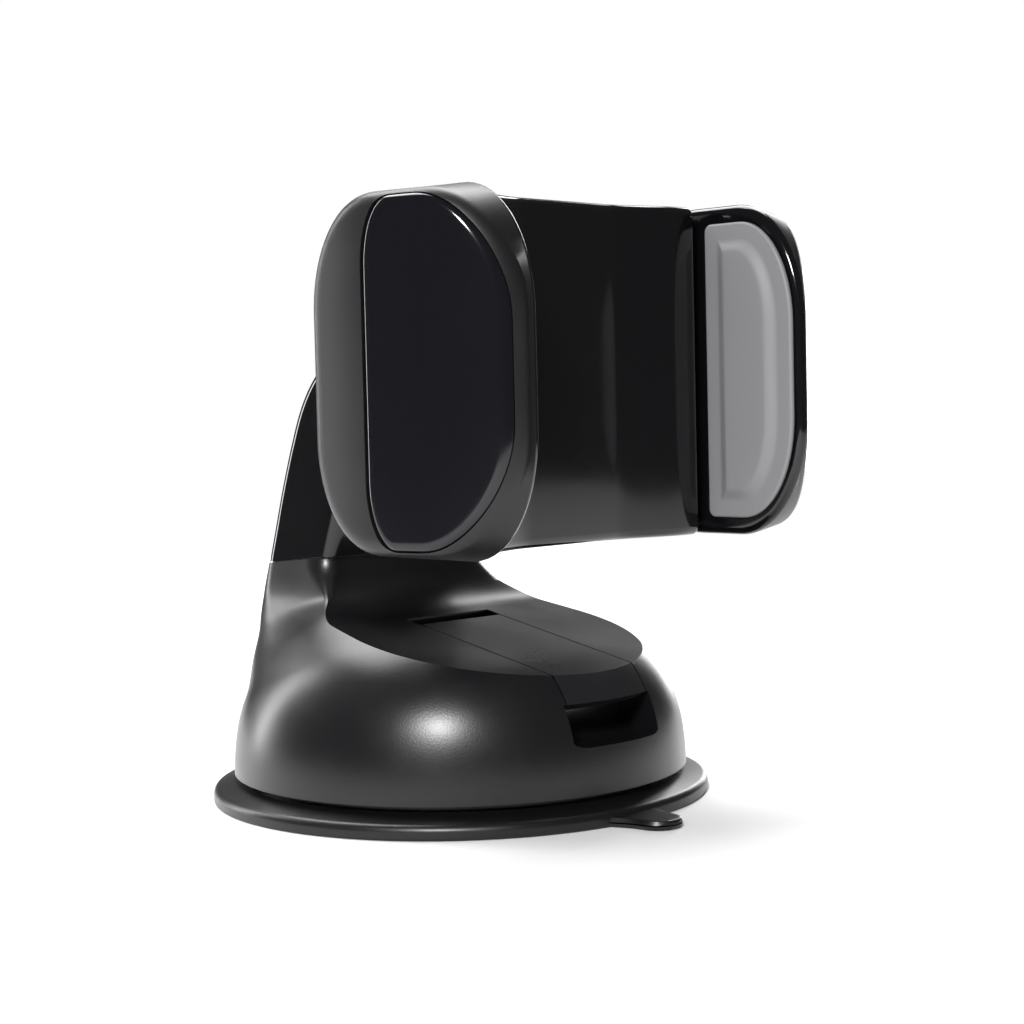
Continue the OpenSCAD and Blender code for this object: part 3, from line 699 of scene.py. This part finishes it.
# A shallow land under the arm keeps the seam dark: it stands on the neck, inside the outline
land = loft(ARM, 30.5, 44, 20, inset=0.4)
trim(land, (0, SEAM_Y, SEAM_Z + 0.5), seam_normal)
trim(land, (0, SEAM_Y, SEAM_Z), -seam_normal)
arm = combine(arm, [land], "UNION")
arm = combine(
    arm,
    [hollow, cover_plug(0.12), block((-8.7, 13, 40), (8.7, 40, 63)), y_rod(0, BALL_Z, 4.5, 9.8, 0)],
)
# ABS, moulded in a mirror-polished tool: near black, with sharp but slightly wavy reflections
gloss_abs = moulded("polished_gloss_abs", "#0a0a0c", 0.1, 3.0, 0.001, spread=0.03)
finish_piece(arm, "arm_upper", "base", gloss_abs, ["arm_shell"])

cover = combine(cover_plug(0), [loft(ARM, 30.5, 69.4, 60)], "INTERSECT")
finish_piece(cover, "arm_rear_cover", "base", gloss_abs, ["arm_cover"])


# ---- Clamp jaws
# Each jaw is a satin ABS shell with a gloss rim, a gloss panel snapped in its outer side,
# and a grey silicone pad bonded in its inner side. The right one is made, then mirrored.

JAW_Y = (-12.0, -44.8)
JAW_HALF_Z = 24.3
JAW_CORNERS = ((13.0, 16.0), (12.0, 17.0))
CORNER_STEPS = 20
EDGE_STEPS = 12
# Outer side of the jaw: x at y, from the back to the tip
JAW_SIDE = [
    (-46, 27.0), (-44.8, 28.4), (-43.4, 30.2), (-41.4, 32.0), (-38.5, 33.9), (-35, 35.4), (-30, 36.9),
    (-25, 37.75), (-20, 38.0), (-12, 37.7),
]


def side_x(y):
    return section_at(JAW_SIDE, y)[0]


def rounded_loop(back, front, half_z, corners, inset):
    """An outline in (y, z), with elliptical corners at the back and at the front."""
    back, front, half_z = back - inset, front + inset, half_z - inset
    (back_y, back_z), (front_y, front_z) = [[max(c - inset, 0.25) for c in pair] for pair in corners]
    out = []
    for start, sy, sz in ((0, 1, 1), (90, -1, 1), (180, -1, -1), (270, 1, -1)):
        ry, rz = (back_y, back_z) if sy > 0 else (front_y, front_z)
        cy = back - ry if sy > 0 else front + ry
        cz = sz * (half_z - rz)
        for i in range(CORNER_STEPS + 1):
            angle = math.radians(start + 90 * i / CORNER_STEPS)
            out.append((cy + ry * math.cos(angle), cz + rz * math.sin(angle)))
        ends = {
            0: (front + front_y, half_z),
            90: (front, -(half_z - front_z)),
            180: (back - back_y, -half_z),
            270: (back, half_z - back_z),
        }[start]
        first = out[-1]
        for i in range(1, EDGE_STEPS):
            t = i / EDGE_STEPS
            out.append((first[0] + (ends[0] - first[0]) * t, first[1] + (ends[1] - first[1]) * t))
    return out


def stack(rows):
    """A closed skin through loops of (x, y, z) points, capped at both ends."""
    bm = bmesh.new()
    count = len(rows[0])
    skin(bm, count, len(rows) - 1, lambda u, v: rows[round(v * (len(rows) - 1))][round(u * count) % count])
    bmesh.ops.remove_doubles(bm, verts=bm.verts[:], dist=0.001)
    bmesh.ops.holes_fill(bm, edges=[e for e in bm.edges if e.is_boundary], sides=0)
    return bm


def jaw_rows(outline, low_x, low_round, high_round, widest, sink=0.0, draft=0.0, steps=7, spread=16):
    """Loops from a flat inner side, round both edges, over the curved outer side to its middle."""

    def loop(inset, height):
        return [(height(y), y, BALL_Z + z) for y, z in outline(inset)]

    rows = [loop(low_round + 0.6, lambda y: low_x)]
    for i in range(steps + 1):
        a = math.pi / 2 * i / steps
        rows.append(
            loop(low_round * (1 - math.sin(a)), lambda y, a=a: low_x + low_round * (1 - math.cos(a)))
        )
    for i in range(steps + 1):
        a = math.pi / 2 * i / steps

        def height(y, a=a):
            top = side_x(y) - sink
            r = min(high_round, max(0.02, top - low_x - low_round))
            return top - r * (1 - math.sin(a))

        rows.append(loop(draft + high_round * (1 - math.cos(a)), height))
    for i in range(1, spread + 1):
        inset = draft + high_round + (widest - draft - high_round) * i / spread
        rows.append(loop(inset, lambda y: side_x(y) - sink))
    return rows


def jaw_outline(inset):
    return rounded_loop(JAW_Y[0], JAW_Y[1], JAW_HALF_Z, JAW_CORNERS, inset)


PANEL_BACK = -24.0
PANEL_EDGE = 1.7
PANEL_CORNERS = ((4.5, 9.0), (11.0, 16.0))


def panel_outline(inset):
    """The panel's outline: the jaw's tip drawn in by the rim, with a rear edge of its own."""
    return rounded_loop(
        PANEL_BACK, JAW_Y[1] + PANEL_EDGE, JAW_HALF_Z - PANEL_EDGE, PANEL_CORNERS, inset
    )


PAD_Y = (-27.6, -43.4)
PAD_HALF_Z = 21.7
PAD_CORNERS = ((1.2, 1.2), (9.4, 15.0))


def pad_outline(inset):
    return rounded_loop(PAD_Y[0], PAD_Y[1], PAD_HALF_Z, PAD_CORNERS, inset)


def slab(outline, low_x, high_x, inset):
    """A flat plate of an outline, for a cut."""
    loop = outline(inset)
    return stack([[(x, y, BALL_Z + z) for y, z in loop] for x in (low_x, high_x)])


def mirrored(bm):
    """A copy of the mesh, turned to the other side of x = 0."""
    other = bm.copy()
    bmesh.ops.scale(other, vec=(-1, 1, 1), verts=other.verts[:])
    bmesh.ops.reverse_faces(other, faces=other.faces[:])
    return other


SIDES = (("right", 1), ("left", -1))
RIM_X = 26.6
PANEL_T = 1.1


def on_both_sides(bm, name, material, nodes, after=None):
    """Finishes a right-hand piece and its mirrored copy. After, if given, changes each of them."""
    for side, sign in SIDES:
        made = finish_piece(
            bm.copy() if sign > 0 else mirrored(bm),
            f"{side}_{name}",
            f"{side}_jaw",
            material,
            [f"{side}_{node}" for node in nodes],
        )
        if after:
            after(made)
    bm.free()


shell = stack(jaw_rows(jaw_outline, RIM_X, 1.1, 2.2, 15.4, draft=0.9))
panel_seat = stack(
    [
        [(side_x(y) - 1.25, y, BALL_Z + z) for y, z in panel_outline(-0.12)],
        [(side_x(y) + 3, y, BALL_Z + z) for y, z in panel_outline(-0.12)],
    ]
)
pad_seat = slab(pad_outline, 20, 27.45, -0.1)
shell = combine(shell, [panel_seat, pad_seat])
# ABS, moulded on a spark-eroded tool: duller than the dome, so that the jaw frames its panel
satin_jaw = moulded("moulded_satin_jaw_abs", "#0d0d0f", 0.42, 0.3, 0.01)
# Where the rim's round edge ends, in the metres of a finished mesh
RIM_TOP = 0.0277


def gloss_rim(piece):
    """The rim round the pad is polished. It is the part of the shell nearest the phone."""
    for face in piece.data.polygons:
        face.material_index = 1 if abs(face.center.x) < RIM_TOP else 0


on_both_sides(shell, "jaw_cheek", [satin_jaw, gloss_abs], ["jaw_shell"], gloss_rim)

panel = stack(jaw_rows(panel_outline, 26.0, 0.0, 0.9, 9.0, sink=-0.05))
under = stack(
    [
        [(20.0, y, BALL_Z + z) for y, z in panel_outline(-2)],
        [(side_x(y) - PANEL_T, y, BALL_Z + z) for y, z in panel_outline(-2)],
    ]
)
panel = combine(panel, [under])
# ABS, polished less than the arm: a dark sheen with softer reflections
panel_abs = moulded("polished_panel_abs", "#0d0d12", 0.13, 3.0, 0.001, spread=0.03)
on_both_sides(panel, "jaw_cover", panel_abs, ["jaw_panel"])


def pad_rows():
    """A flat band with a softly raised middle, as loops from the back of the pad to its face."""

    def loop(inset, x):
        return [(x, y, BALL_Z + z) for y, z in pad_outline(inset)]

    rows = [loop(0.6, 27.4), loop(0, 27.4)]
    for i in range(6):
        a = math.pi / 2 * i / 5
        rows.append(loop(0.45 * (1 - math.cos(a)), 26.1 + 0.45 * (1 - math.sin(a))))
    band, rise = 2.3, 0.9
    for i in range(11):
        t = i / 10
        rows.append(loop(band + 2.2 * t, 26.1 - rise * ease(t)))
    rows.append(loop(5.6, 26.1 - rise))
    return rows


# Silicone, moulded on a blasted tool: matt grey, with hardly any highlight
silicone = moulded("moulded_silicone", "#7d7d7f", 0.52, 0.5, 0.012)
on_both_sides(stack(pad_rows()), "grip_pad", silicone, ["jaw_pad"])


# ---- Head
# The clamp's body: a rear shell that holds the gears, and a gloss ABS face in front.
# The face sweeps forward at both ends to two ridges that carry the phone's back.

HEAD_HALF = 25.6
HEAD_HALF_Z = 24.2
HEAD_CORNER = 2.5
HEAD_BACK = -12.0
SPLIT_Y = -21.6
FACE_Y = -25.0
FACE_EDGE = 1.3
HEAD_WALL = 2.0
HEAD_IN_Z = HEAD_HALF_Z - HEAD_WALL


def face_y(x):
    """The face's plan: flat, then swept forward to a ridge, then back round its end."""
    x = abs(x)
    y = FACE_Y - 3.0 * ease((x - 8.5) / 13.5)
    return y + 1.9 * ease((x - 22.9) / 2.6) if x > 22.9 else y


def face_loop(x):
    """The face's outline in (y, z) at x, with round front edges."""
    over = max(0.0, abs(x) - (HEAD_HALF - HEAD_CORNER))
    tall = HEAD_HALF_Z - HEAD_CORNER + math.sqrt(max(0.0, HEAD_CORNER**2 - over**2))
    front = face_y(x)
    out = [(x, SPLIT_Y, BALL_Z + tall)]
    for side in (1, -1):
        for i in range(9):
            a = math.pi / 2 * (i if side > 0 else 8 - i) / 8
            y = front + FACE_EDGE * (1 - math.sin(a))
            out.append((x, y, BALL_Z + side * (tall - FACE_EDGE * (1 - math.cos(a)))))
    return out + [(x, SPLIT_Y, BALL_Z - tall)]


FACE_COLUMNS = 150
# Columns stand closer together towards the ends, where the face curves most
face_columns = [
    HEAD_HALF * math.sin(math.pi / 2 * (2 * i / FACE_COLUMNS - 1)) for i in range(FACE_COLUMNS + 1)
]
face = stack([face_loop(x) for x in face_columns])
face_hollow = stack(
    [
        [
            (x, y, BALL_Z + z)
            for y, z in (
                (-20, HEAD_IN_Z),
                (face_y(x) + HEAD_WALL, HEAD_IN_Z),
                (face_y(x) + HEAD_WALL, -HEAD_IN_Z),
                (-20, -HEAD_IN_Z),
            )
        ]
        for x in [-23.6 + 47.2 * i / 60 for i in range(61)]
    ]
)
SCREW_PLACES = [(x, BALL_Z + z) for x in (-21.4, 21.4) for z in (-20.6, 20.6)]
SLOTS = ((46.7, 56.1), (67.9, 77.3))
face_hollow = combine(face_hollow, [y_rod(x, z, 2.5, -19, -30, 32) for x, z in SCREW_PLACES])
face = combine(
    face,
    [face_hollow]
    + [block((-40, -22.2, low), (40, -17.8, high)) for low, high in SLOTS]
    + [y_rod(x, z, 0.8, -20, -26, 24) for x, z in SCREW_PLACES],
)
finish_piece(face, "clamp_face", "head", gloss_abs, ["head_face"])


def head_loop(y, inset):
    """The head's rounded rectangle in (x, z) at y."""
    corner = HEAD_CORNER - min(inset, 2.0)
    out = []
    for k, (sx, sz) in enumerate(((1, 1), (-1, 1), (-1, -1), (1, -1))):
        for i in range(9):
            a = math.radians(90 * k + 90 * i / 8)
            x = sx * (HEAD_HALF - inset - corner) + corner * math.cos(a)
            out.append((x, y, BALL_Z + sz * (HEAD_HALF_Z - inset - corner) + corner * math.sin(a)))
    return out


REAR_EDGE = 1.2
rear_rows = [
    head_loop(HEAD_BACK - REAR_EDGE * (1 - math.cos(a)), REAR_EDGE * (1 - math.sin(a)))
    for a in [math.pi / 2 * i / 8 for i in range(9)]
]
rear = stack(rear_rows + [head_loop(SPLIT_Y, 0)])
rear_hollow = combine(
    block((-23.6, -23, 39.8), (23.6, HEAD_BACK - HEAD_WALL, 84.2)),
    [y_rod(x, z, 2.5, -11, -30, 32) for x, z in SCREW_PLACES]
    + [y_rod(x, BALL_Z, 2.6, -11, HEAD_BACK - 4, 32) for x in (-16, 16)],
)
rear = combine(
    rear,
    [rear_hollow, y_rod(0, BALL_Z, 9.5, -5, -20)]
    + [block((-40, -22.2, low), (40, -17.8, high)) for low, high in SLOTS]
    + [y_rod(x, z, 2.2, -10, -13.8, 32) for x, z in SCREW_PLACES]
    + [y_rod(x, z, 1.2, -10, -30, 24) for x, z in SCREW_PLACES],
)
# ABS, moulded on a fine spark-eroded tool: a soft, even sheen
head_abs = moulded("moulded_head_abs", "#151517", 0.36, 0.3, 0.01)
finish_piece(rear, "clamp_rear", "head", head_abs, ["head_shell"])


# ---- Parts that keep their CAD shape
# Screws, springs, gear train, ball, socket and collar: turned, formed or moulded parts whose
# CAD mesh is already their real shape. They only take the material they are made of.

# Zinc-plated or spring steel: a bright metal with a fine, slightly soft reflection
steel = moulded("zinc_plated_steel", "#b9bcc0", 0.3, 0.2, 0.002)
steel.node_tree.nodes["Principled BSDF"].inputs["Metallic"].default_value = 1.0
# Natural nylon, machined or moulded: pale and waxy with a broad highlight
nylon = moulded("moulded_nylon", "#c9c6bd", 0.4, 0.3, 0.004)
# Black nylon for the parts of the ball joint that can be seen from behind
black_nylon = moulded("moulded_black_nylon", "#1a1a1b", 0.42, 0.3, 0.006)
by_slot = {
    "flange_rubber": rim_tpu,
    "cup_gel": cup_gel,
    "satin_plastic": head_abs,
    "gloss_plastic": gloss_abs,
    "pad_silicone": silicone,
    "nylon": nylon,
    "steel": steel,
}
for part in frame["record"]["subparts"]:
    kept = frame["nodes"][part["node"]]
    chosen = black_nylon if part["node"] in ("ball_stud", "ball_socket") else by_slot[part["material_slot"]]
    kept.data.materials.clear()
    kept.data.materials.append(chosen)


# ---- Floor, light and camera
# A pale sweep, with large soft lights as in a product studio.
bm = bmesh.new()
bmesh.ops.create_grid(bm, x_segments=1, y_segments=1, size=0.4)
mesh = bpy.data.meshes.new("floor")
bm.to_mesh(mesh)
bm.free()
floor = bpy.data.objects.new("floor", mesh)
bpy.context.scene.collection.objects.link(floor)
floor_paper = bpy.data.materials.new("floor_paper")
floor_paper.use_nodes = True
floor_paper.node_tree.nodes["Principled BSDF"].inputs["Base Color"].default_value = linear("#f4f4f4")
floor_paper.node_tree.nodes["Principled BSDF"].inputs["Roughness"].default_value = 0.9
mesh.materials.append(floor_paper)

world = bpy.data.worlds.new("studio")
bpy.context.scene.world = world
world.use_nodes = True
tree = world.node_tree
tree.nodes.clear()
soft = add_node(tree, "ShaderNodeBackground", inputs={"Color": (1, 1, 1, 1), "Strength": 0.1})
bright = add_node(tree, "ShaderNodeBackground", inputs={"Color": (1, 1, 1, 1), "Strength": 1.0})
seen = add_node(tree, "ShaderNodeLightPath")
mix = add_node(
    tree,
    "ShaderNodeMixShader",
    links={0: seen.outputs["Is Camera Ray"], 1: soft.outputs[0], 2: bright.outputs[0]},
)
add_node(tree, "ShaderNodeOutputWorld", links={"Surface": mix.outputs[0]})


def area_light(name, azimuth, elevation, distance, width, height, power, aim=(0, 0, 0.045)):
    """A soft box, placed by its direction from the object in degrees."""
    light = bpy.data.lights.new(name, "AREA")
    light.shape = "RECTANGLE"
    light.size, light.size_y = width, height
    light.energy = power
    made = bpy.data.objects.new(name, light)
    a, e = math.radians(azimuth), math.radians(elevation)
    back = Vector((math.sin(a) * math.cos(e), -math.cos(a) * math.cos(e), math.sin(e)))
    made.location = Vector(aim) + back * distance
    made.rotation_mode = "QUATERNION"
    made.rotation_quaternion = back.to_track_quat("Z", "Y")
    bpy.context.scene.collection.objects.link(made)
    return made


area_light("key", -55, 29, 0.7, 0.13, 0.13, 5.0)
area_light("back", 150, 62, 0.8, 0.8, 0.5, 11.0)
area_light("left_strip", -162, 12, 0.6, 0.12, 0.6, 2.2)
area_light("right_strip", 112, 15, 0.7, 0.12, 0.6, 2.0)

camera_data = bpy.data.cameras.new("camera")
camera = bpy.data.objects.new("camera", camera_data)
bpy.context.scene.collection.objects.link(camera)
bpy.context.scene.camera = camera
camera_data.lens = 70.13
camera_data.sensor_width = 36
a, e, roll = math.radians(-44.7), math.radians(3.16), math.radians(-1.34)
back = Vector((math.sin(a) * math.cos(e), -math.cos(a) * math.cos(e), math.sin(e)))
right = Vector((math.cos(a), math.sin(a), 0))
up = back.cross(right)
camera.location = (Vector((0, 0, 50)) + back * 299.3 + right * 8.58 - up * 8.35) * 0.001
turned_right = right * math.cos(roll) + up * math.sin(roll)
turned_up = up * math.cos(roll) - right * math.sin(roll)
camera.rotation_mode = "QUATERNION"
camera.rotation_quaternion = Matrix((turned_right, turned_up, back)).transposed().to_quaternion()
camera_data.clip_start = 0.01
camera_data.clip_end = 20
bpy.context.scene.view_settings.view_transform = "Standard"
